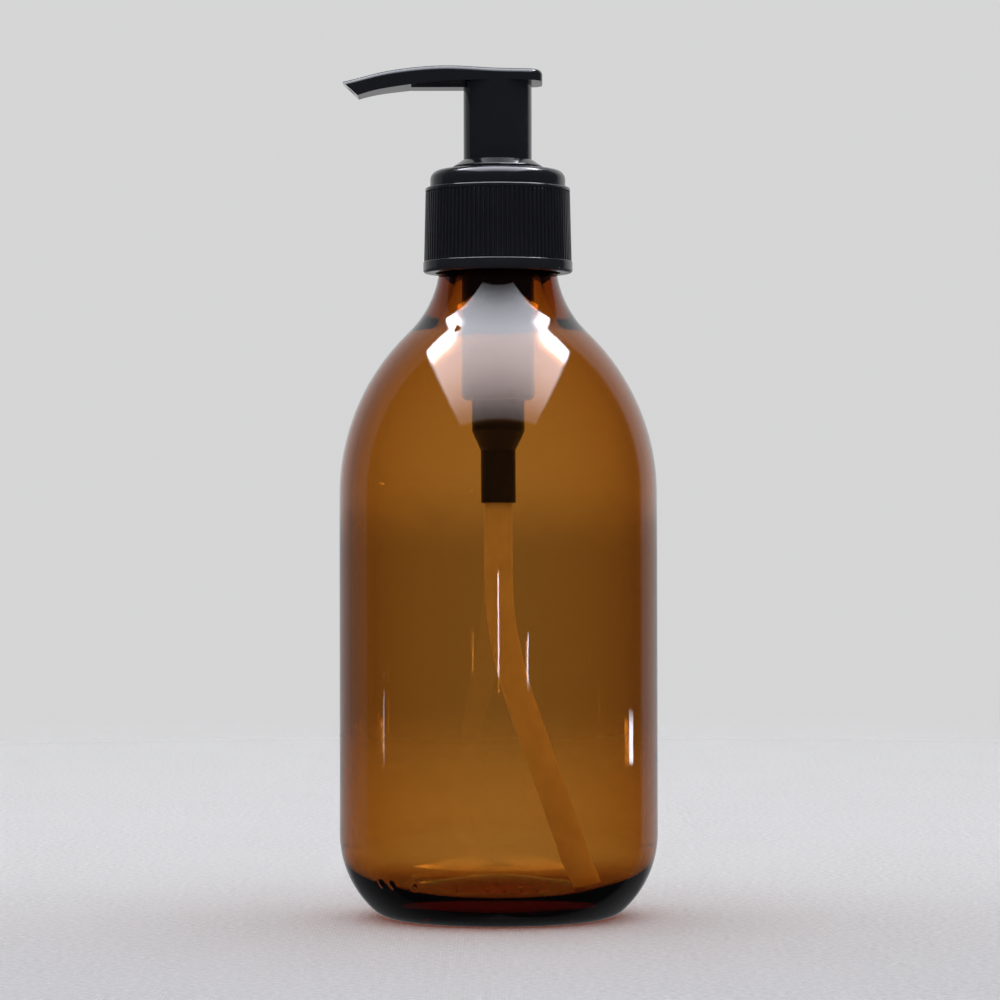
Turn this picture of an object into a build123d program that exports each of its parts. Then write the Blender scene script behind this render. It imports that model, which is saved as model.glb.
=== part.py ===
from build123d import *
import math
import os

# Soap pump dispenser: an amber glass "sirop" bottle with a screw-on lotion pump.
# Millimetres, +Z up, origin at the centre of the bottle's base, on the surface it stands on.
# The spout points to -X. The pump is drawn at rest, unlocked, with its head up.

# ---- bottle ---------------------------------------------------------------------------
BODY_R = 38.0            # outer radius of the straight body
HEEL_TOP = 20.0          # height where the heel meets the straight body
BEARING_R = (22.0, 25.0)  # flat ring that the bottle stands on
HEEL_R = 7.5             # tighter, lower radius of the heel
PUNT_H = 4.4             # height of the push-up under the base
SHOULDER_Z = 101.0       # height where the shoulder begins
SHOULDER_R = 53.5        # radius of the shoulder's arc
NECK_ARC_R = 24.7        # radius of the hollow between shoulder and neck
NECK_R = 13.9            # neck below the thread
WALL = 2.8               # glass wall of the body
FLOOR_RIM_R = 21.5       # where the inner floor meets the inner heel
FLOOR_RIM_Z = 4.9
FLOOR_MID_Z = 8.4
INNER_HEEL_TOP = 18.0
INNER_HEEL_R = 9.0
BORE_R = 9.6             # neck bore
FINISH_R = 12.7          # neck wall under the thread (28 mm finish)
LIP_Z = 170.5            # top of the bottle

# ---- 28-410 thread ----------------------------------------------------------------------
PITCH = 4.233
THREAD_TURNS = 1.5
THREAD_R = 13.75         # crest of the bottle's thread
THREAD_Z = 161.6         # centre of the bottle's thread where it starts
COLLAR_THREAD_R = 13.05  # crest of the collar's thread
COLLAR_THREAD_DROP = 1.40  # collar thread's centre below the bottle's

# ---- collar (closure) --------------------------------------------------------------------
COLLAR_Z = (153.9, 178.5)
BEAD_R = 17.9
BEAD_TOP = 156.65
RIB_Z = (156.65, 173.5)
RIB_R = (17.68, 17.3)    # crest radius at the bottom and at the top
RIB_DEPTH = 0.42
RIB_COUNT = 96
EDGE_R = 17.35           # plain ring that closes the ribs at the top
EDGE_Z = 174.3
STEP_R = 16.2            # plain shoulder above the ribs
STEP_ROUND = 2.3
SKIRT_IN_R = 14.15       # inside wall that carries the thread
LEDGE_Z = 173.35         # ledge that presses the housing's flange down
CAVITY_R = 11.8
WEB_Z = 176.45           # underside of the top web
WEB_HOLE_R = 10.1

# ---- pump housing, lock ring and gasket ----------------------------------------------------
GASKET_T = 1.2
FLANGE_R = 12.95
FLANGE_T = 1.5
RIM_R = 11.4
RIM_Z = 176.2
UPPER_R = 9.4            # housing where it passes the bottle's bore
UPPER_IN_R = 8.85
UPPER_Z = 158.9          # ledge inside, under the lock ring
CHAMBER_R = 8.7
CHAMBER_IN_R = 7.6
CHAMBER_Z = 125.0        # floor that the spring stands on
WAIST_R = 6.3
WAIST_IN_R = 5.3
WAIST_TOP = 123.4
WAIST_BOTTOM = 116.0
VALVE_FLOOR_Z = 116.6
VALVE_HOLE_R = 1.5
TAIL_R = 4.15
TAIL_Z = (98.9, 111.4)
TUBE_SEAT_Z = 110.5
LOCK_IN_R = 8.4
LOCK_FLANGE_R = 10.85
LOCK_NECK_R = 9.8
LOCK_Z = (178.7, 179.5, 180.9)  # flange, foot of the cone and its top
GUIDE_TOP = 160.3        # top of the lock ring's floor, which guides the stem
GUIDE_R = 4.1

# ---- dip tube ------------------------------------------------------------------------------
TUBE_R = 3.4
TUBE_IN_R = 2.7
TUBE_BEND_Z = 83.0
TUBE_BEND_R = 85.0
TUBE_BEND = 22.0         # degrees
TUBE_HEADING = -30.0     # degrees from +X, the way that the tube bends
TUBE_END_Z = 6.6

# ---- valves and spring -----------------------------------------------------------------------
INLET_BALL_R = 2.5
INLET_LIFT = 1.5
OUTLET_BALL_R = 2.0
OUTLET_LIFT = 1.2
BALL_GAP = 0.05
SPRING_Z = (125.05, 149.45)
SPRING_R = 6.3
SPRING_TURNS = 6.75
WIRE_R = 0.5

# ---- piston, stem and head -----------------------------------------------------------------------
STROKE = 15.0
PLUG_Z = 149.5           # underside of the plug's flange
PISTON_Z = (150.9, 156.5)
PISTON_R = 7.55
PISTON_IN_R = 3.3
STEM_R = 4.0
STEM_BORE_R = 1.9
STEM_TOP = 198.5
OUTLET_SEAT_Z = 190.5
OUTLET_HOLE_R = 1.3
OUTLET_WELL_R = 2.4
SHROUD_R = 8.2
SHROUD_IN_R = 7.1
SHROUD_Z = 175.8
HEAD_TOP = 203.0
SPOUT_X = -37.1
TAIL_X = 10.7
CHANNEL_R = 1.1


def arc(cx, cz, radius, start, end):
    """Arc about (cx, cz) from one angle to another, in degrees."""
    at = [(cx + radius * math.cos(math.radians(a)), cz + radius * math.sin(math.radians(a)))
          for a in (start, (start + end) / 2, end)]
    return ThreePointArc(*at)


def s_curve(p, q, share=0.62):
    """Two arcs, level at both ends, that meet on the line between the ends."""
    m = (p[0] + (q[0] - p[0]) * share, p[1] + (q[1] - p[1]) * share)
    out = 1 if q[0] > p[0] else -1
    first = TangentArc(p, m, tangent=(out, 0))
    second = TangentArc(q, m, tangent=(-out, 0))
    return [first, second]


def heel(r0, z0, r1, z1, low_r):
    """A heel of two arcs: level at (r0, z0) and upright at (r1, z1)."""
    a, b = r1 - r0, z1 - z0
    high_r = (a * a + b * b - 2 * b * low_r) / (2 * a - 2 * low_r)
    low, high = (r0, z0 + low_r), (r1 - high_r, z1)
    turn = math.degrees(math.atan2(low[1] - high[1], low[0] - high[0]))
    return [arc(*low, low_r, -90, turn), arc(*high, high_r, turn, 0)]


def shoulder(body_r, neck_r, shoulder_r):
    """Shoulder arc and hollow arc up to the neck; returns the arcs and the neck's height."""
    c1 = (body_r - shoulder_r, SHOULDER_Z)
    run = neck_r + NECK_ARC_R - c1[0]
    rise = math.sqrt((shoulder_r + NECK_ARC_R) ** 2 - run ** 2)
    c2 = (neck_r + NECK_ARC_R, SHOULDER_Z + rise)
    turn = math.degrees(math.atan2(rise, run))
    return [arc(*c1, shoulder_r, 0, turn), arc(*c2, NECK_ARC_R, 180 + turn, 180)], c2[1]


def turned(lines):
    """Solid of revolution about Z from a closed outline of (r, z) curves."""
    return revolve(Plane.XZ * make_face(lines), Axis.Z)


def lathe(points):
    """Solid of revolution from a closed outline of (r, z) corners."""
    return turned([Polyline(*points, close=True)])


def rod(radius, z0, z1, x=0.0, y=0.0):
    return Pos(x, y, z0) * Cylinder(radius, z1 - z0, align=(Align.CENTER, Align.CENTER, Align.MIN))


def thread(root_r, crest_r, root_w, crest_w, z, turns, start):
    """Right-hand thread of one start; root_r to crest_r may go outwards or inwards."""
    path = Rot(0, 0, start) * Pos(0, 0, z) * Helix(PITCH, PITCH * turns, root_r)
    at = Plane(path @ 0, x_dir=Vector(path @ 0) - Vector(0, 0, z), z_dir=path % 0)
    grow = crest_r - root_r
    section = at * Polyline((0, -root_w / 2), (grow, -crest_w / 2), (grow, crest_w / 2), (0, root_w / 2),
                            close=True)
    return sweep(make_face(section), path, is_frenet=True)


def glass_bottle():
    outer, neck_z = shoulder(BODY_R, NECK_R, SHOULDER_R)
    inner, bore_z = shoulder(BODY_R - WALL, BORE_R, SHOULDER_R - WALL)
    lines = s_curve((0, PUNT_H), (BEARING_R[0], 0))
    lines += [Line((BEARING_R[0], 0), (BEARING_R[1], 0))]
    lines += heel(BEARING_R[1], 0, BODY_R, HEEL_TOP, HEEL_R)
    lines += [Line((BODY_R, HEEL_TOP), (BODY_R, SHOULDER_Z))] + outer
    lines += [Polyline((NECK_R, neck_z), (NECK_R, 158.0), (FINISH_R, 158.8), (FINISH_R, LIP_Z - 1.2))]
    lines += [arc(FINISH_R - 1.2, LIP_Z - 1.2, 1.2, 0, 90)]
    lines += [Line((FINISH_R - 1.2, LIP_Z), (BORE_R + 0.8, LIP_Z))]
    lines += [arc(BORE_R + 0.8, LIP_Z - 0.8, 0.8, 90, 180)]
    lines += [Line((BORE_R, LIP_Z - 0.8), (BORE_R, bore_z))] + inner
    inside = BODY_R - WALL
    lines += [Line((inside, SHOULDER_Z), (inside, INNER_HEEL_TOP))]
    lines += heel(FLOOR_RIM_R, FLOOR_RIM_Z, inside, INNER_HEEL_TOP, INNER_HEEL_R)
    lines += s_curve((0, FLOOR_MID_Z), (FLOOR_RIM_R, FLOOR_RIM_Z))
    lines += [Line((0, FLOOR_MID_Z), (0, PUNT_H))]
    return turned(lines) + thread(FINISH_R - 0.2, THREAD_R, 2.3, 1.0, THREAD_Z, THREAD_TURNS, 0)


def rib_ring(crest, root):
    """Points of one ring of ribs, four to a rib."""
    step = 2 * math.pi / RIB_COUNT
    points = []
    for i in range(RIB_COUNT):
        for share, radius in ((-0.36, root), (-0.14, crest), (0.14, crest), (0.36, root)):
            angle = (i + share) * step
            points.append((radius * math.cos(angle), radius * math.sin(angle)))
    return points


def rib_band():
    """Ribbed band of the collar, tapering a little, with its ribs bevelled at the top."""
    z0, z1 = RIB_Z
    low, high = RIB_R
    rings = [(z0, low, low - RIB_DEPTH), (z1 - 0.45, high, high - RIB_DEPTH),
             (z1, high - RIB_DEPTH + 0.05, high - RIB_DEPTH)]
    faces = [Pos(0, 0, z) * make_face(Polyline(*rib_ring(crest, root), close=True))
             for z, crest, root in rings]
    return loft(faces, ruled=True)


def screw_collar():
    z0, z1 = COLLAR_Z
    core = RIB_R[1] - RIB_DEPTH - 0.3
    lines = [Line((15.0, z0), (BEAD_R - 0.7, z0)), arc(BEAD_R - 0.7, z0 + 0.7, 0.7, -90, 0)]
    lines += [Line((BEAD_R, z0 + 0.7), (BEAD_R, BEAD_TOP - 0.35))]
    lines += [arc(BEAD_R - 0.35, BEAD_TOP - 0.35, 0.35, 0, 90)]
    lines += [Polyline((BEAD_R - 0.35, BEAD_TOP), (core, BEAD_TOP), (core, RIB_Z[1] - 0.1),
                       (EDGE_R, RIB_Z[1] - 0.1), (EDGE_R, EDGE_Z - 0.4))]
    lines += [arc(EDGE_R - 0.4, EDGE_Z - 0.4, 0.4, 0, 90)]
    lines += [Polyline((EDGE_R - 0.4, EDGE_Z), (STEP_R, EDGE_Z), (STEP_R, z1 - STEP_ROUND))]
    lines += [arc(STEP_R - STEP_ROUND, z1 - STEP_ROUND, STEP_ROUND, 0, 90)]
    lines += [Polyline((STEP_R - STEP_ROUND, z1), (WEB_HOLE_R, z1), (WEB_HOLE_R, WEB_Z), (CAVITY_R, WEB_Z),
                       (CAVITY_R, LEDGE_Z), (SKIRT_IN_R, LEDGE_Z), (SKIRT_IN_R, 159.0), (15.0, 158.4),
                       (15.0, z0))]
    ribs = rib_band() - rod(core - 0.5, RIB_Z[0] - 1, RIB_Z[1] + 1)
    start = THREAD_Z - COLLAR_THREAD_DROP - PITCH / 4
    inside = thread(SKIRT_IN_R + 0.2, COLLAR_THREAD_R, 1.7, 0.7, start, THREAD_TURNS, -90)
    return turned(lines) + ribs + inside


def lock_ring():
    z0, z1, z2 = LOCK_Z
    lines = [Polyline((GUIDE_R, UPPER_Z), (UPPER_IN_R, UPPER_Z), (UPPER_IN_R, RIM_Z), (LOCK_NECK_R, RIM_Z),
                      (LOCK_NECK_R, z0), (LOCK_FLANGE_R, z0), (LOCK_FLANGE_R, z1 - 0.3))]
    lines += [arc(LOCK_FLANGE_R - 0.3, z1 - 0.3, 0.3, 0, 60)]
    foot = (LOCK_FLANGE_R - 0.15, z1 - 0.3 + 0.3 * math.sin(math.radians(60)))
    lines += [Polyline(foot, (LOCK_IN_R + 0.3, z2 - 0.1), (LOCK_IN_R + 0.1, z2), (LOCK_IN_R, z2),
                       (LOCK_IN_R, GUIDE_TOP), (GUIDE_R, GUIDE_TOP), (GUIDE_R, UPPER_Z))]
    return turned(lines)


def pump_housing():
    base = LIP_Z + GASKET_T
    return lathe([
        (UPPER_IN_R, RIM_Z), (RIM_R, RIM_Z), (RIM_R, base + FLANGE_T), (FLANGE_R, base + FLANGE_T),
        (FLANGE_R, base), (UPPER_R, base), (UPPER_R, 157.6), (CHAMBER_R, 156.6),
        (CHAMBER_R, WAIST_TOP + 0.8), (CHAMBER_R - 0.8, WAIST_TOP), (WAIST_R, WAIST_TOP),
        (WAIST_R, WAIST_BOTTOM), (TAIL_R, TAIL_Z[1]), (TAIL_R, TAIL_Z[0]), (TUBE_R, TAIL_Z[0]),
        (TUBE_R, TUBE_SEAT_Z), (VALVE_HOLE_R, TUBE_SEAT_Z), (VALVE_HOLE_R, VALVE_FLOOR_Z - 1.35),
        (VALVE_HOLE_R + 1.35, VALVE_FLOOR_Z), (WAIST_IN_R, VALVE_FLOOR_Z), (WAIST_IN_R, CHAMBER_Z),
        (CHAMBER_IN_R, CHAMBER_Z), (CHAMBER_IN_R, UPPER_Z), (UPPER_IN_R, UPPER_Z)])


def neck_gasket():
    z0 = LIP_Z
    return lathe([(UPPER_R + 0.05, z0), (12.6, z0), (12.6, z0 + GASKET_T), (UPPER_R + 0.05, z0 + GASKET_T)])


def dip_tube():
    """Stiff tube, straight in the housing's tail and then set to one side by one gentle bend."""
    turn = math.radians(TUBE_BEND)
    bend_x = TUBE_BEND_R * (1 - math.cos(turn))
    bend_z = TUBE_BEND_Z - TUBE_BEND_R * math.sin(turn)
    end_x = bend_x + (bend_z - TUBE_END_Z) * math.tan(turn)
    upright = Line((0, 0, TUBE_SEAT_Z), (0, 0, TUBE_BEND_Z))
    mid = (TUBE_BEND_R * (1 - math.cos(turn / 2)), 0, TUBE_BEND_Z - TUBE_BEND_R * math.sin(turn / 2))
    bend = ThreePointArc((0, 0, TUBE_BEND_Z), mid, (bend_x, 0, bend_z))
    slope = Line((bend_x, 0, bend_z), (end_x, 0, TUBE_END_Z))
    path = Wire([upright, bend, slope])
    section = Pos(0, 0, TUBE_SEAT_Z) * Rot(180, 0, 0) * (Circle(TUBE_R) - Circle(TUBE_IN_R))
    tube = sweep(section, path)
    length = TUBE_SEAT_Z - TUBE_BEND_Z + TUBE_BEND_R * turn + slope.length
    print(f"dip tube: {length:.1f} mm long, bend radius {TUBE_BEND_R:.0f} mm, end at {end_x:.1f} mm")
    return Rot(0, 0, TUBE_HEADING) * tube


def ball_height(seat_z, hole_r, ball_r):
    """Centre of a ball that rests on a 45 degree seat, with a hair of clearance."""
    reach = ball_r * math.sqrt(0.5)
    return seat_z + (reach - hole_r) + reach + BALL_GAP


def inlet_ball():
    z = ball_height(VALVE_FLOOR_Z - 1.35, VALVE_HOLE_R, INLET_BALL_R)
    return Pos(0, 0, z) * Sphere(INLET_BALL_R)


def ball_retainer():
    """Cage over the inlet ball: a ring with a bar across, and a collar that centres the spring."""
    stop = ball_height(VALVE_FLOOR_Z - 1.35, VALVE_HOLE_R, INLET_BALL_R) + INLET_BALL_R + INLET_LIFT + 0.1
    cage = lathe([(2.9, VALVE_FLOOR_Z), (WAIST_IN_R, VALVE_FLOOR_Z), (WAIST_IN_R, CHAMBER_Z),
                  (5.05, CHAMBER_Z + 0.4), (5.05, 127.6), (4.6, 128.0), (3.7, 128.0), (3.7, stop + 1.2),
                  (2.9, stop)])
    bar = Pos(0, 0, stop) * Box(8.4, 1.3, 1.2, align=(Align.CENTER, Align.CENTER, Align.MIN))
    slot = Pos(0, 0, VALVE_FLOOR_Z + 1.0) * Box(1.6, 12, 3.0, align=(Align.CENTER, Align.CENTER, Align.MIN))
    return cage + bar - (slot & rod(4.4, 0, 200))


def return_spring():
    z0, z1 = SPRING_Z
    height = z1 - z0 - 2 * WIRE_R
    path = Pos(0, 0, z0 + WIRE_R) * Helix(height / SPRING_TURNS, height, SPRING_R)
    section = Plane(path @ 0, z_dir=path % 0) * Circle(WIRE_R)
    coil = sweep(section, path, is_frenet=True)
    return coil & rod(SPRING_R + 2, z0, z1)


def piston_seal():
    """Soft piston with a lip up and a lip down that wipe the chamber."""
    z0, z1 = PISTON_Z
    mid = (z0 + z1) / 2
    return lathe([(PISTON_IN_R, z0 + 0.6), (6.0, z0 + 0.6), (6.9, z0), (PISTON_R - 0.1, z0),
                  (PISTON_R, z0 + 0.9), (7.1, z0 + 1.9), (7.1, z1 - 1.9), (PISTON_R, z1 - 0.9),
                  (PISTON_R - 0.1, z1), (6.9, z1), (5.4, mid + 0.8), (4.9, mid + 0.8), (4.9, z1),
                  (PISTON_IN_R, z1)])


def piston_plug():
    """Hollow plug pressed into the stem: it holds the piston and takes the spring's push."""
    top = PISTON_Z[0]
    return lathe([(1.5, PLUG_Z - 2.2), (4.4, PLUG_Z - 2.2), (5.0, PLUG_Z - 1.6), (5.0, PLUG_Z),
                  (6.85, PLUG_Z), (6.85, top - 0.3), (6.0, top), (2.5, top), (2.5, top + 5.0),
                  (2.2, top + 5.3), (1.5, top + 5.3)])


def pump_stem():
    z0, z1 = PISTON_Z
    return lathe([(2.5, z0), (PISTON_IN_R, z0), (PISTON_IN_R, z1), (STEM_R, z1), (STEM_R, STEM_TOP - 0.4),
                  (STEM_R - 0.4, STEM_TOP), (OUTLET_WELL_R, STEM_TOP), (OUTLET_WELL_R, OUTLET_SEAT_Z + 1.1),
                  (OUTLET_HOLE_R, OUTLET_SEAT_Z), (OUTLET_HOLE_R, OUTLET_SEAT_Z - 1.2),
                  (STEM_BORE_R, OUTLET_SEAT_Z - 1.8), (STEM_BORE_R, z0 + 6.0), (2.5, z0 + 5.4)])


def outlet_ball():
    z = ball_height(OUTLET_SEAT_Z, OUTLET_HOLE_R, OUTLET_BALL_R)
    return Pos(0, 0, z) * Sphere(OUTLET_BALL_R)


def head_plan():
    """Outline of the head from above: a rounded press plate that narrows to the spout."""
    half = [(SPOUT_X - 1, 4.3), (-34.0, 4.7), (-28.0, 5.7), (-20.0, 6.8), (-12.0, 7.65), (-4.0, 8.0),
            (TAIL_X - 4.0, 8.0)]
    upper = Spline(*half)
    lower = mirror(upper, Plane.XZ)
    end = half[-1]
    corner = arc(end[0], end[1] - 4.0, 4.0, 90, 0)
    back = Line((TAIL_X, 4.0), (TAIL_X, -4.0))
    front = Line((half[0][0], half[0][1]), (half[0][0], -half[0][1]))
    return make_face([upper, corner, back, mirror(corner, Plane.XZ), lower, front])


def head_side():
    """Side view of the press plate and spout, with the spout's end cut on a slant."""
    top = Spline((SPOUT_X, 199.5), (-32.7, 200.5), (-27.9, 201.6), (-23.0, 202.35), (-18.2, 202.8),
                 (-12.3, HEAD_TOP), (-6.2, 202.75), (-1.5, 202.45), (3.3, 202.3), (TAIL_X, 202.2))
    under = Spline((-33.4, 196.1), (-27.9, 197.5), (-23.0, 198.2), (-18.2, 198.8), (-13.5, 199.2),
                   (-8.6, 199.4), (0.0, 199.5), (TAIL_X, 199.3))
    tail, tip = Line(top @ 1, under @ 1), Line(under @ 0, top @ 0)
    return make_face([top, tail, under, tip])


def actuator_head():
    plate = Pos(0, 9, 0) * extrude(Plane.XZ * head_side(), 18) & Pos(0, 0, 190) * extrude(head_plan(), 20)
    top = plate.faces().sort_by(Axis.Z)[-1]
    plate = fillet(top.edges().filter_by_position(Axis.X, SPOUT_X + 1, 12), 1.35)
    shroud = lathe([(SHROUD_IN_R, SHROUD_Z), (SHROUD_R - 0.3, SHROUD_Z), (SHROUD_R, SHROUD_Z + 0.3),
                    (SHROUD_R, 200.2), (0, 200.2), (0, 198.6), (SHROUD_IN_R, 198.6)])
    boss = rod(5.4, 180.0, 200.0)
    trunk = Pos(-14.2, 0, 198.1) * Box(12.8, 7.6, 2.4, align=(Align.CENTER, Align.CENTER, Align.MIN))
    head = plate + shroud + boss + trunk
    well = rod(OUTLET_WELL_R, STEM_TOP - 0.1, 200.9)
    socket = rod(STEM_R, 179.0, STEM_TOP)
    path = ThreePointArc((-38.5, 0, 196.6), (-22.5, 0, 200.15), (-1.5, 0, 200.0))
    channel = sweep(Plane(path @ 0, z_dir=path % 0) * Circle(CHANNEL_R), path)
    stop_z = ball_height(OUTLET_SEAT_Z, OUTLET_HOLE_R, OUTLET_BALL_R) + OUTLET_BALL_R + OUTLET_LIFT + 0.1
    pin = rod(0.8, stop_z, 201.5)
    return head - socket - well - channel + pin


os.makedirs("parts", exist_ok=True)
for make in (glass_bottle, screw_collar, lock_ring, pump_housing, neck_gasket, dip_tube, inlet_ball,
             ball_retainer, return_spring, piston_seal, piston_plug, pump_stem, outlet_ball, actuator_head):
    export_step(make(), f"parts/{make.__name__}.step")
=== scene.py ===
"""Soap pump dispenser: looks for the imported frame. Metres, +Z up, spout to -X."""
import math

import bmesh
import bpy
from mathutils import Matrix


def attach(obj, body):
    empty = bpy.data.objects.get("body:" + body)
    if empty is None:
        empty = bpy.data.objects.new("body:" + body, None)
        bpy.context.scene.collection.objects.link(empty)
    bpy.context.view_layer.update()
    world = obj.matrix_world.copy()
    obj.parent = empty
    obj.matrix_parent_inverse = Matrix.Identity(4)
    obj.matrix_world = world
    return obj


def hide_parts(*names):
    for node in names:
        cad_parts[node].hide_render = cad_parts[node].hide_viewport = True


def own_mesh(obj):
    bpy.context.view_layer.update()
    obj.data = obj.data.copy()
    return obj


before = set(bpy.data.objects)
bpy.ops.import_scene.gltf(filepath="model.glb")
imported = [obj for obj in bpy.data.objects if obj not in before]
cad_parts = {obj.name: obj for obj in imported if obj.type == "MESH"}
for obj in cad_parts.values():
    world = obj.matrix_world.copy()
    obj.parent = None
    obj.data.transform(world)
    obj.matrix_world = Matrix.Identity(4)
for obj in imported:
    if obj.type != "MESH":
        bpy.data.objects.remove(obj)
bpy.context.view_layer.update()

MM = 0.001
AMBER = (0.793, 0.55, 0.025)      # what a metre of the glass lets through, with its density
AMBER_DENSITY = 720.0
BACKDROP = (0.668, 0.668, 0.675)
# small lamps on the camera's side: degrees towards +X, half width, lowest and highest z, strength
LAMPS = ((0.0, 0.7, -0.040, -0.008, 14.0), (21.0, 0.7, -0.042, -0.028, 16.0),
         (111.0, 3.0, -0.060, -0.050, 12.0), (-91.0, 1.0, -0.060, -0.040, 3.0))
# how bright the backdrop is by direction: degrees from straight behind, share
BACKDROP_SHARES = ((-71, 0), (-69.5, 0.28), (-57, 0.32), (-41, 0.58), (-36, 0.7), (-14, 1.0),
                   (12, 1.0), (30, 1.0), (42, 0.85), (52, 0.62), (57, 0))
FLOOR_RADIUS, FLOOR_FADE = 1.6, (0.25, 1.1)
CAMERA_LENS, CAMERA_AT, CAMERA_TILT, CAMERA_ROLL = 135.3, (0.00040, -0.900, 0.0914), 90.52, 0.1


# ---- node helpers ------------------------------------------------------------------------

class Nodes:
    """Thin wrapper that adds nodes and links to one tree."""

    def __init__(self, tree):
        self.tree = tree
        tree.nodes.clear()

    def add(self, kind, inputs=None, **props):
        node = self.tree.nodes.new(kind)
        for key, value in props.items():
            setattr(node, key, value)
        for key, value in (inputs or {}).items():
            self.put(node.inputs[key], value)
        return node

    def put(self, socket, value):
        if isinstance(value, bpy.types.NodeSocket):
            self.tree.links.new(value, socket)
        else:
            socket.default_value = value

    def math(self, op, a, b=None, c=None, clamp=False):
        node = self.add("ShaderNodeMath", operation=op, use_clamp=clamp)
        for i, value in enumerate((a, b, c)):
            if value is not None:
                self.put(node.inputs[i], value)
        return node.outputs[0]

    def step(self, value, low, high, to_low=0.0, to_high=1.0):
        node = self.add("ShaderNodeMapRange", interpolation_type="SMOOTHSTEP")
        for name, v in (("Value", value), ("From Min", low), ("From Max", high), ("To Min", to_low),
                        ("To Max", to_high)):
            self.put(node.inputs[name], v)
        return node.outputs["Result"]

    def colour(self, factor, a, b):
        node = self.add("ShaderNodeMix", data_type="RGBA")
        for i, v in ((0, factor), (6, a), (7, b)):
            self.put(node.inputs[i], v)
        return node.outputs[2]

    def ramp(self, value, low, high, stops):
        """Grey level from a value between low and high, straight from stop to stop."""
        share = self.math("DIVIDE", self.math("SUBTRACT", value, low), high - low, clamp=True)
        node = self.add("ShaderNodeValToRGB", {"Fac": share})
        points = node.color_ramp.elements
        while len(points) < len(stops):
            points.new(0.5)
        for point, (at, grey) in zip(points, stops):
            point.position = (at - low) / (high - low)
            point.color = rgba(grey, grey, grey)
        return node.outputs["Color"]

    def noise(self, coords, scale, detail=2.0, rough=0.5):
        return self.add("ShaderNodeTexNoise", {"Vector": coords, "Scale": scale, "Detail": detail,
                                               "Roughness": rough}).outputs["Fac"]

    def object_coords(self):
        return self.add("ShaderNodeTexCoord").outputs["Object"]


def material(name):
    mat = bpy.data.materials.new(name)
    mat.use_nodes = True
    return mat, Nodes(mat.node_tree)


def rgba(r, g, b):
    return (r, g, b, 1.0)


# ---- materials ---------------------------------------------------------------------------

def amber_glass():
    mat, n = material("amber_glass")
    at = n.object_coords()
    wide = n.noise(at, 55.0, 1.5)
    squeezed = n.add("ShaderNodeMapping", {"Vector": at, "Scale": (260.0, 260.0, 18.0)}).outputs[0]
    streak = n.noise(squeezed, 1.0, 2.0)
    height = n.math("ADD", n.math("MULTIPLY", wide, 0.9), n.math("MULTIPLY", streak, 0.16))
    bump = n.add("ShaderNodeBump", {"Strength": 0.12, "Distance": 0.0006, "Height": height})
    bsdf = n.add("ShaderNodeBsdfPrincipled", {
        "Base Color": rgba(1, 1, 1), "Roughness": 0.0, "IOR": 1.5, "Transmission Weight": 1.0,
        "Normal": bump.outputs[0]})
    inside = n.add("ShaderNodeVolumeAbsorption", {"Color": rgba(*AMBER), "Density": AMBER_DENSITY})
    # scattered light passes straight through the walls, tinted, to the cloth and to the tube
    either = n.add("ShaderNodeMixShader", {0: n.add("ShaderNodeLightPath").outputs["Is Diffuse Ray"],
                                           1: bsdf.outputs[0],
                                           2: n.add("ShaderNodeBsdfTransparent").outputs[0]})
    n.add("ShaderNodeOutputMaterial", {"Surface": either.outputs[0], "Volume": inside.outputs[0]})
    return mat


def plastic(name, colour, rough, grain=900.0, grain_depth=0.00003, vary=0.25):
    """Moulded plastic: a faint grain, patches that differ a little in gloss, and a soft tint."""
    mat, n = material(name)
    at = n.object_coords()
    patch = n.noise(at, 90.0, 3.0)
    fine = n.noise(at, grain, 2.0)
    gloss = n.step(patch, 0.3, 0.7, rough * (1 - vary), rough * (1 + vary))
    dark = rgba(*[c * 0.88 for c in colour])
    tint = n.colour(patch, dark, rgba(*colour))
    bump = n.add("ShaderNodeBump", {"Strength": 0.35, "Distance": grain_depth, "Height": fine})
    bsdf = n.add("ShaderNodeBsdfPrincipled", {
        "Base Color": tint, "Roughness": gloss, "IOR": 1.49, "Normal": bump.outputs[0]})
    n.add("ShaderNodeOutputMaterial", {"Surface": bsdf.outputs[0]})
    return mat


def natural_tube():
    """Unpigmented polyethylene: partly clear, partly milky."""
    mat, n = material("natural_tube")
    at = n.object_coords()
    cloud = n.noise(at, 160.0, 3.0)
    bump = n.add("ShaderNodeBump", {"Strength": 0.3, "Distance": 0.00005, "Height": n.noise(at, 500.0)})
    tint = n.colour(cloud, rgba(0.90, 0.88, 0.84), rgba(0.97, 0.96, 0.93))
    clear = n.add("ShaderNodeBsdfPrincipled", {"Base Color": tint, "Roughness": 0.12, "IOR": 1.3,
                                               "Transmission Weight": 1.0, "Normal": bump.outputs[0]})
    through = n.add("ShaderNodeBsdfTranslucent", {"Color": tint})
    matt = n.add("ShaderNodeBsdfDiffuse", {"Color": tint})
    milk = n.add("ShaderNodeMixShader", {0: 0.5, 1: through.outputs[0], 2: matt.outputs[0]})
    both = n.add("ShaderNodeMixShader", {0: n.step(cloud, 0.3, 0.7, 0.66, 0.76), 1: clear.outputs[0],
                                         2: milk.outputs[0]})
    n.add("ShaderNodeOutputMaterial", {"Surface": both.outputs[0]})
    return mat


def steel(name, rough):
    mat, n = material(name)
    at = n.object_coords()
    streak = n.noise(at, 1500.0, 3.0)
    bsdf = n.add("ShaderNodeBsdfPrincipled", {
        "Base Color": n.colour(streak, rgba(0.52, 0.52, 0.53), rgba(0.66, 0.66, 0.67)), "Metallic": 1.0,
        "Roughness": n.step(streak, 0.3, 0.7, rough * 0.7, rough * 1.3)})
    n.add("ShaderNodeOutputMaterial", {"Surface": bsdf.outputs[0]})
    return mat


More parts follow.
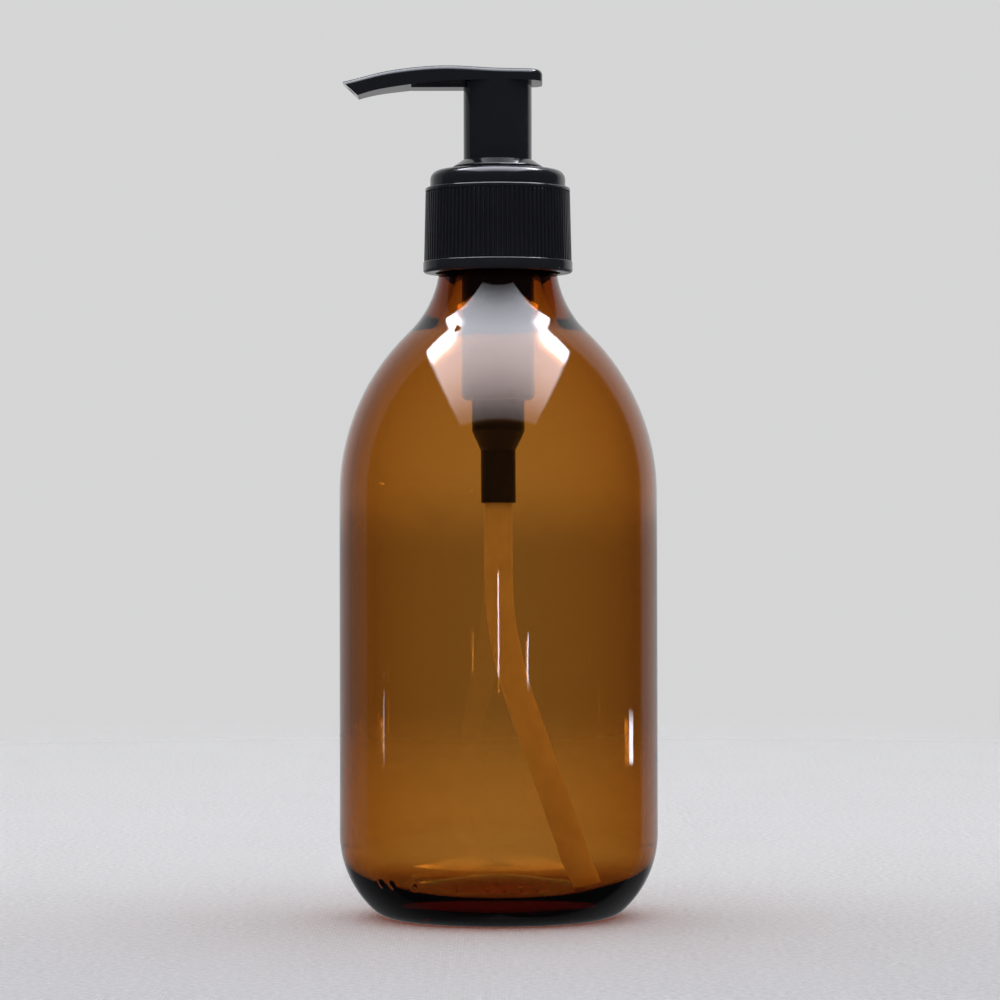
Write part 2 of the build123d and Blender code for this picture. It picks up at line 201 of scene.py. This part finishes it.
def floor_fabric(fade_from, fade_to):
    """Pale, finely woven cloth with painted shade towards the camera, that fades out into the backdrop.
    """
    mat, n = material("floor_fabric")
    at = n.object_coords()
    weave_u = n.add("ShaderNodeTexWave", {"Vector": at, "Scale": 420.0, "Distortion": 3.0, "Detail": 2.0,
                                          "Detail Scale": 2.0}, bands_direction="X").outputs["Fac"]
    weave_v = n.add("ShaderNodeTexWave", {"Vector": at, "Scale": 420.0, "Distortion": 3.0, "Detail": 2.0,
                                          "Detail Scale": 2.0}, bands_direction="Y").outputs["Fac"]
    weave = n.math("MULTIPLY", n.math("ADD", weave_u, weave_v), 0.5)
    fluff = n.noise(at, 650.0, 3.0, 0.65)
    cloud = n.noise(at, 22.0, 3.0)
    height = n.math("ADD", n.math("MULTIPLY", weave, 0.5), fluff)
    tint = n.colour(n.step(fluff, 0.3, 0.7), rgba(0.655, 0.652, 0.668), rgba(0.855, 0.852, 0.868))
    tint = n.colour(n.step(cloud, 0.35, 0.65, 0.0, 0.25), tint, rgba(0.79, 0.787, 0.803))
    # painted shade: the cloth's colour is multiplied darker towards -Y, the camera's side, to stand in
    # for less light falling on the near floor
    depth = n.add("ShaderNodeSeparateXYZ", {0: at}).outputs[1]
    painted_front_shade = n.colour(n.step(depth, -0.13, 0.17), rgba(0.86, 0.86, 0.87), rgba(1, 1, 1))
    tint = n.add("ShaderNodeMix", {0: 1.0, 6: tint, 7: painted_front_shade},
                 data_type="RGBA", blend_type="MULTIPLY").outputs[2]
    bump = n.add("ShaderNodeBump", {"Strength": 0.5, "Distance": 0.0004, "Height": height})
    cloth = n.add("ShaderNodeBsdfPrincipled", {"Base Color": tint, "Roughness": 0.95, "Sheen Weight": 0.1,
                                               "Specular IOR Level": 0.2, "Normal": bump.outputs[0]})
    reach = n.add("ShaderNodeVectorMath", {0: at}, operation="LENGTH").outputs["Value"]
    mix = n.add("ShaderNodeMixShader", {0: n.step(reach, fade_from, fade_to), 1: cloth.outputs[0],
                                        2: n.add("ShaderNodeBsdfTransparent").outputs[0]})
    n.add("ShaderNodeOutputMaterial", {"Surface": mix.outputs[0]})
    return mat


# ---- stage, light and camera -------------------------------------------------------------

def make_floor():
    bm = bmesh.new()
    bmesh.ops.create_circle(bm, cap_ends=True, radius=FLOOR_RADIUS, segments=96)
    mesh = bpy.data.meshes.new("floor")
    bm.to_mesh(mesh)
    bm.free()
    floor = bpy.data.objects.new("floor", mesh)
    bpy.context.collection.objects.link(floor)
    mesh.materials.append(floor_fabric(*FLOOR_FADE))
    floor.visible_glossy = False


def make_world():
    """A studio as seen from the object: a pale backdrop behind, a large box of light overhead with
    brighter sides, a few small lamps and a dark room in front. The camera itself sees only the
    plain pale backdrop."""
    world = bpy.data.worlds.new("studio")
    bpy.context.scene.world = world
    world.use_nodes = True
    world.cycles.sampling_method = "NONE"
    n = Nodes(world.node_tree)
    split = n.add("ShaderNodeSeparateXYZ", {0: n.add("ShaderNodeTexCoord").outputs["Generated"]})
    x, y, z = split.outputs
    turn = n.math("MULTIPLY", n.math("ARCTAN2", x, y), 180 / math.pi)
    across = n.ramp(turn, -80.0, 70.0, BACKDROP_SHARES)
    above = n.step(z, 0.80, 0.93, 1.0, 0.0)
    fall = n.math("MULTIPLY", n.step(z, -0.006, 0.016, 0.66, 1.08), n.step(z, -0.30, -0.08, 0.2, 1.0))
    back = n.math("MULTIPLY", n.math("MULTIPLY", across, above), fall)
    room = n.add("ShaderNodeMix", {0: back, 6: rgba(0.022, 0.023, 0.028), 7: rgba(*BACKDROP)},
                 data_type="RGBA", clamp_factor=False).outputs[2]
    up = n.math("MAXIMUM", z, 0.02)
    u = n.math("ABSOLUTE", n.math("DIVIDE", x, up))
    v = n.math("DIVIDE", y, up)
    box = n.math("MULTIPLY", n.step(u, 0.74, 0.80, 1.0, 0.0),
                 n.math("MULTIPLY", n.step(v, -1.30, -1.20), n.step(v, 0.34, 0.46, 1.0, 0.0)))
    box = n.math("MULTIPLY", box, n.step(z, 0.05, 0.1))
    front = n.step(v, -1.25, -0.1, 1.2, 8.2)
    side = n.math("MULTIPLY", n.step(u, 0.36, 0.54), n.step(v, 0.0, 0.30))
    power = n.math("MULTIPLY", box, n.math("ADD", front, n.math("MULTIPLY", side, 26.0)))
    ahead = n.math("MULTIPLY", n.math("ARCTAN2", x, n.math("MULTIPLY", y, -1.0)), 180 / math.pi)
    for towards, reach, low, high, strength in LAMPS:
        aside = n.math("ABSOLUTE", n.math("SUBTRACT", ahead, towards))
        lamp = n.math("MULTIPLY", n.step(aside, reach * 0.6, reach, strength, 0.0),
                      n.math("MULTIPLY", n.step(z, low - 0.002, low + 0.002),
                             n.step(z, high - 0.002, high + 0.002, 1.0, 0.0)))
        power = n.math("ADD", power, lamp)
    glow = n.add("ShaderNodeVectorMath", {0: (0.94, 0.96, 1.06), "Scale": power},
                 operation="SCALE").outputs[0]
    seen = n.add("ShaderNodeVectorMath", {0: room, 1: glow}, operation="ADD").outputs[0]
    path = n.add("ShaderNodeLightPath")
    soft = n.colour(n.step(z, -0.3, 0.9), rgba(0.33, 0.33, 0.33), rgba(0.98, 0.98, 0.99))
    walls = n.step(path.outputs["Transparent Depth"], 0.4, 0.6, 1.0, 1.8)  # the glass gathers light
    gain = n.math("MULTIPLY", n.math("ADD", n.math("MULTIPLY", y, 0.4), 1.0), walls)
    soft = n.add("ShaderNodeVectorMath", {0: soft, "Scale": gain}, operation="SCALE").outputs[0]
    lit = n.colour(path.outputs["Is Diffuse Ray"], seen, soft)
    plain = n.colour(path.outputs["Is Camera Ray"], lit, rgba(*BACKDROP))
    sky = n.add("ShaderNodeBackground", {"Color": plain, "Strength": 1.0})
    n.add("ShaderNodeOutputWorld", {"Surface": sky.outputs[0]})


def make_camera():
    data = bpy.data.cameras.new("camera")
    data.lens = CAMERA_LENS
    data.sensor_width = 36.0
    data.clip_start, data.clip_end = 0.05, 20.0
    camera = bpy.data.objects.new("camera", data)
    camera.location = CAMERA_AT
    camera.rotation_euler = (math.radians(CAMERA_TILT), math.radians(CAMERA_ROLL), 0.0)
    bpy.context.collection.objects.link(camera)
    bpy.context.scene.camera = camera


# ---- mesh helpers ------------------------------------------------------------------------

def arc_points(cx, cz, radius, start, end, count):
    """Points of an arc in millimetres, both ends included; angles in degrees."""
    angles = [math.radians(start + (end - start) * i / count) for i in range(count + 1)]
    return [(cx + radius * math.cos(a), cz + radius * math.sin(a)) for a in angles]


def run(p, q, count):
    """Points of a straight line, both ends included."""
    return [(p[0] + (q[0] - p[0]) * i / count, p[1] + (q[1] - p[1]) * i / count)
            for i in range(count + 1)]


def joined(*parts):
    """One outline from several, without the doubled points where they meet."""
    points = []
    for part in parts:
        for p in part:
            if not points or math.dist(p, points[-1]) > 1e-5:
                points.append(p)
    return points


def lathe(name, outline, segments, mat, swell=None):
    """Closed surface from an outline of (r, z) in millimetres whose ends lie on the axis, or that
    closes on itself. swell(angle, r, z) may move a point outwards."""
    closed = outline[0][0] > 1e-6
    verts, faces, rows = [], [], []
    for r, z in outline:
        if r < 1e-6:
            rows.append([len(verts)] * segments)
            verts.append((0.0, 0.0, z * MM))
            continue
        row = []
        for i in range(segments):
            a = 2 * math.pi * i / segments
            out = r + (swell(a, r, z) if swell else 0.0)
            row.append(len(verts))
            verts.append((out * MM * math.cos(a), out * MM * math.sin(a), z * MM))
        rows.append(row)
    pairs = list(zip(rows, rows[1:])) + ([(rows[-1], rows[0])] if closed else [])
    for low, high in pairs:
        for i in range(segments):
            j = (i + 1) % segments
            face = [low[i], low[j], high[j], high[i]]
            face = [v for k, v in enumerate(face) if v not in face[:k]]
            if len(face) > 2:
                faces.append(face)
    mesh = bpy.data.meshes.new(name)
    mesh.from_pydata(verts, [], faces)
    mesh.validate()
    mesh.polygons.foreach_set("use_smooth", [True] * len(mesh.polygons))
    obj = bpy.data.objects.new(name, mesh)
    bpy.context.collection.objects.link(obj)
    mesh.materials.append(mat)
    return obj


# ---- the bottle --------------------------------------------------------------------------

BODY_R, HEEL_TOP, SHOULDER_Z, SHOULDER_R, NECK_ARC_R = 38.0, 20.0, 101.0, 53.5, 24.7
NECK_R, BORE_R, FINISH_R, LIP_Z, WALL = 13.9, 9.6, 12.7, 170.5, 2.8
PITCH, THREAD_Z, THREAD_R, THREAD_TURNS = 4.233, 161.6, 13.75, 1.5
BEARING_R, HEEL_R, UNDERSIDE_Z = (22.0, 25.0), 7.5, 4.4
FLOOR_RIM, FLOOR_MID_Z, INNER_HEEL_TOP, INNER_HEEL_R = (21.5, 4.9), 8.4, 18.0, 9.0
FINISH_Z, LIP_OUTER_R, LIP_INNER_R = (158.0, 158.8), 1.2, 0.8
DOT_Z, DOT_R, DOT_HEIGHT = 9.8, 0.9, 0.35
DOT_TURNS = (-140, -134, -123, -105.5, -94, -88, -82, -76, -70)    # degrees from +X


def dome(p, q, count, share=0.62):
    """Two arcs, level at both ends, from (0, z) down to q."""
    m = (p[0] + (q[0] - p[0]) * share, p[1] + (q[1] - p[1]) * share)

    def half(a, b, n):
        dr, dz = b[0] - a[0], b[1] - a[1]
        radius = (dr * dr + dz * dz) / (2 * dz)
        turn = 2 * math.atan2(dz, dr)
        return [(a[0] + radius * math.sin(turn * i / n), a[1] + radius * (1 - math.cos(turn * i / n)))
                for i in range(n + 1)]

    first = half(p, m, count)
    second = half((-q[0], q[1]), (-m[0], m[1]), count)
    return first + [(-r, z) for r, z in reversed(second)]


def heel(r0, z0, r1, z1, low_r, count):
    a, b = r1 - r0, z1 - z0
    high_r = (a * a + b * b - 2 * b * low_r) / (2 * a - 2 * low_r)
    low, high = (r0, z0 + low_r), (r1 - high_r, z1)
    turn = math.degrees(math.atan2(low[1] - high[1], low[0] - high[0]))
    return joined(arc_points(*low, low_r, -90, turn, count), arc_points(*high, high_r, turn, 0, count))


def shoulder(body_r, neck_r, shoulder_r, count):
    c1 = (body_r - shoulder_r, SHOULDER_Z)
    across = neck_r + NECK_ARC_R - c1[0]
    rise = math.sqrt((shoulder_r + NECK_ARC_R) ** 2 - across ** 2)
    turn = math.degrees(math.atan2(rise, across))
    return joined(arc_points(*c1, shoulder_r, 0, turn, count),
                  arc_points(neck_r + NECK_ARC_R, SHOULDER_Z + rise, NECK_ARC_R,
                             180 + turn, 180, count // 2))


def thread_swell(angle, r, z):
    """Height of the bottle's right-hand thread at a point of the neck's outer wall."""
    if abs(r - FINISH_R) > 0.01 or z < 159.0:
        return 0.0
    best = 0.0
    for turn in range(3):
        along = angle / (2 * math.pi) + turn
        if along > THREAD_TURNS:
            break
        away = abs(z - (THREAD_Z + PITCH * along))
        ends = min(1.0, along / 0.04, (THREAD_TURNS - along) / 0.04)
        best = max(best, min(1.0, max(0.0, (1.15 - away) / 0.6)) * max(ends, 0.0))
    return (THREAD_R - FINISH_R) * best


def dot_swell(angle, r, z):
    """Height of the small moulded dots that glassworks leave in a row round the heel."""
    if r < 33.0 or abs(z - DOT_Z) > DOT_R:
        return 0.0
    away = min(math.hypot(math.radians((math.degrees(angle) - turn + 180) % 360 - 180) * r, z - DOT_Z)
               for turn in DOT_TURNS)
    return DOT_HEIGHT * max(0.0, 1 - (away / DOT_R) ** 2)


def bottle_swell(angle, r, z):
    return thread_swell(angle, r, z) + dot_swell(angle, r, z)


def bottle_outline():
    outer = shoulder(BODY_R, NECK_R, SHOULDER_R, 44)
    inner = shoulder(BODY_R - WALL, BORE_R, SHOULDER_R - WALL, 44)
    neck_z, bore_z, inside = outer[-1][1], inner[-1][1], BODY_R - WALL
    outside = joined(
        dome((0, UNDERSIDE_Z), (BEARING_R[0], 0), 8),
        run((BEARING_R[0], 0), (BEARING_R[1], 0), 2),
        heel(BEARING_R[1], 0, BODY_R, HEEL_TOP, HEEL_R, 32),
        run((BODY_R, HEEL_TOP), (BODY_R, SHOULDER_Z), 12),
        outer,
        run((NECK_R, neck_z), (NECK_R, FINISH_Z[0]), 2),
        run((NECK_R, FINISH_Z[0]), (FINISH_R, FINISH_Z[1]), 2),
        run((FINISH_R, FINISH_Z[1]), (FINISH_R, LIP_Z - LIP_OUTER_R), 36))
    lip = joined(
        arc_points(FINISH_R - LIP_OUTER_R, LIP_Z - LIP_OUTER_R, LIP_OUTER_R, 0, 90, 6),
        run((FINISH_R - LIP_OUTER_R, LIP_Z), (BORE_R + LIP_INNER_R, LIP_Z), 1),
        arc_points(BORE_R + LIP_INNER_R, LIP_Z - LIP_INNER_R, LIP_INNER_R, 90, 180, 5))
    cavity = joined(
        run((BORE_R, LIP_Z - LIP_INNER_R), (BORE_R, bore_z), 4),
        list(reversed(inner)),
        run((inside, SHOULDER_Z), (inside, INNER_HEEL_TOP), 12),
        list(reversed(heel(*FLOOR_RIM, inside, INNER_HEEL_TOP, INNER_HEEL_R, 12))),
        list(reversed(dome((0, FLOOR_MID_Z), FLOOR_RIM, 8))))
    return joined(outside, lip, cavity)


def make_bottle(mat):
    bottle = lathe("bottle_glass", bottle_outline(), 448, mat, bottle_swell)
    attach(bottle, "bottle")
    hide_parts("glass_bottle")


# ---- the return spring -------------------------------------------------------------------

COIL_Z, COIL_R, WIRE_R, COIL_TURNS = (125.05, 149.45), 6.3, 0.5, 6.75


def make_spring(mat):
    """The coil spring as one closed wire; the real spring shortens as the head goes down."""
    rings, sides = int(COIL_TURNS * 56), 14
    low, high = COIL_Z[0] + WIRE_R, COIL_Z[1] - WIRE_R
    climb = (high - low) / (COIL_TURNS * 2 * math.pi)    # rise per radian of turn
    slope = math.hypot(COIL_R, climb)
    verts, faces = [], []
    for i in range(rings + 1):
        t = COIL_TURNS * 2 * math.pi * i / rings
        c, n = math.cos(t), math.sin(t)
        for k in range(sides):
            a = 2 * math.pi * k / sides
            out, up = WIRE_R * math.cos(a), WIRE_R * math.sin(a)
            # the wire's own section stands square to the way it runs
            verts.append(((COIL_R + out) * MM * c + up * climb / slope * n * MM,
                          (COIL_R + out) * MM * n - up * climb / slope * c * MM,
                          (low + climb * t + up * COIL_R / slope) * MM))
    for i in range(rings):
        for k in range(sides):
            j = (k + 1) % sides
            faces.append((i * sides + k, (i + 1) * sides + k, (i + 1) * sides + j, i * sides + j))
    faces.append(tuple(range(sides)))
    faces.append(tuple(rings * sides + k for k in reversed(range(sides))))
    mesh = bpy.data.meshes.new("spring_wire")
    mesh.from_pydata(verts, [], faces)
    mesh.validate()
    mesh.polygons.foreach_set("use_smooth", [True] * len(mesh.polygons))
    mesh.materials.append(mat)
    spring = bpy.data.objects.new("spring_coil", mesh)
    bpy.context.collection.objects.link(spring)
    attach(spring, "spring_turn")
    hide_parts("return_spring")
    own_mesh(spring)


# ---- assembly ----------------------------------------------------------------------------

def paint(node, mat):
    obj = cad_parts[node]
    obj.data.materials.clear()
    obj.data.materials.append(mat)


def main():
    scene = bpy.context.scene
    scene.view_settings.view_transform = "Standard"
    make_camera()
    make_world()
    make_floor()
    make_bottle(amber_glass())
    black = (0.0190, 0.0198, 0.0245)
    paint("actuator_head", plastic("black_head", black, 0.12))
    paint("lock_ring", plastic("black_lock_ring", black, 0.09))
    paint("screw_collar", plastic("black_collar", black, 0.20))
    paint("pump_housing", plastic("black_housing", black, 0.35))
    paint("dip_tube", natural_tube())
    milky = (0.72, 0.71, 0.67)
    paint("neck_gasket", plastic("gasket_foam", (0.8, 0.8, 0.78), 0.8, grain=2500.0, grain_depth=0.0001))
    for node in ("ball_retainer", "piston_seal", "piston_plug", "pump_stem"):
        paint(node, plastic(node + "_plastic", milky, 0.4))
    paint("inlet_ball", steel("inlet_ball_steel", 0.12))
    paint("outlet_ball", steel("outlet_ball_steel", 0.12))
    make_spring(steel("spring_steel", 0.25))


main()
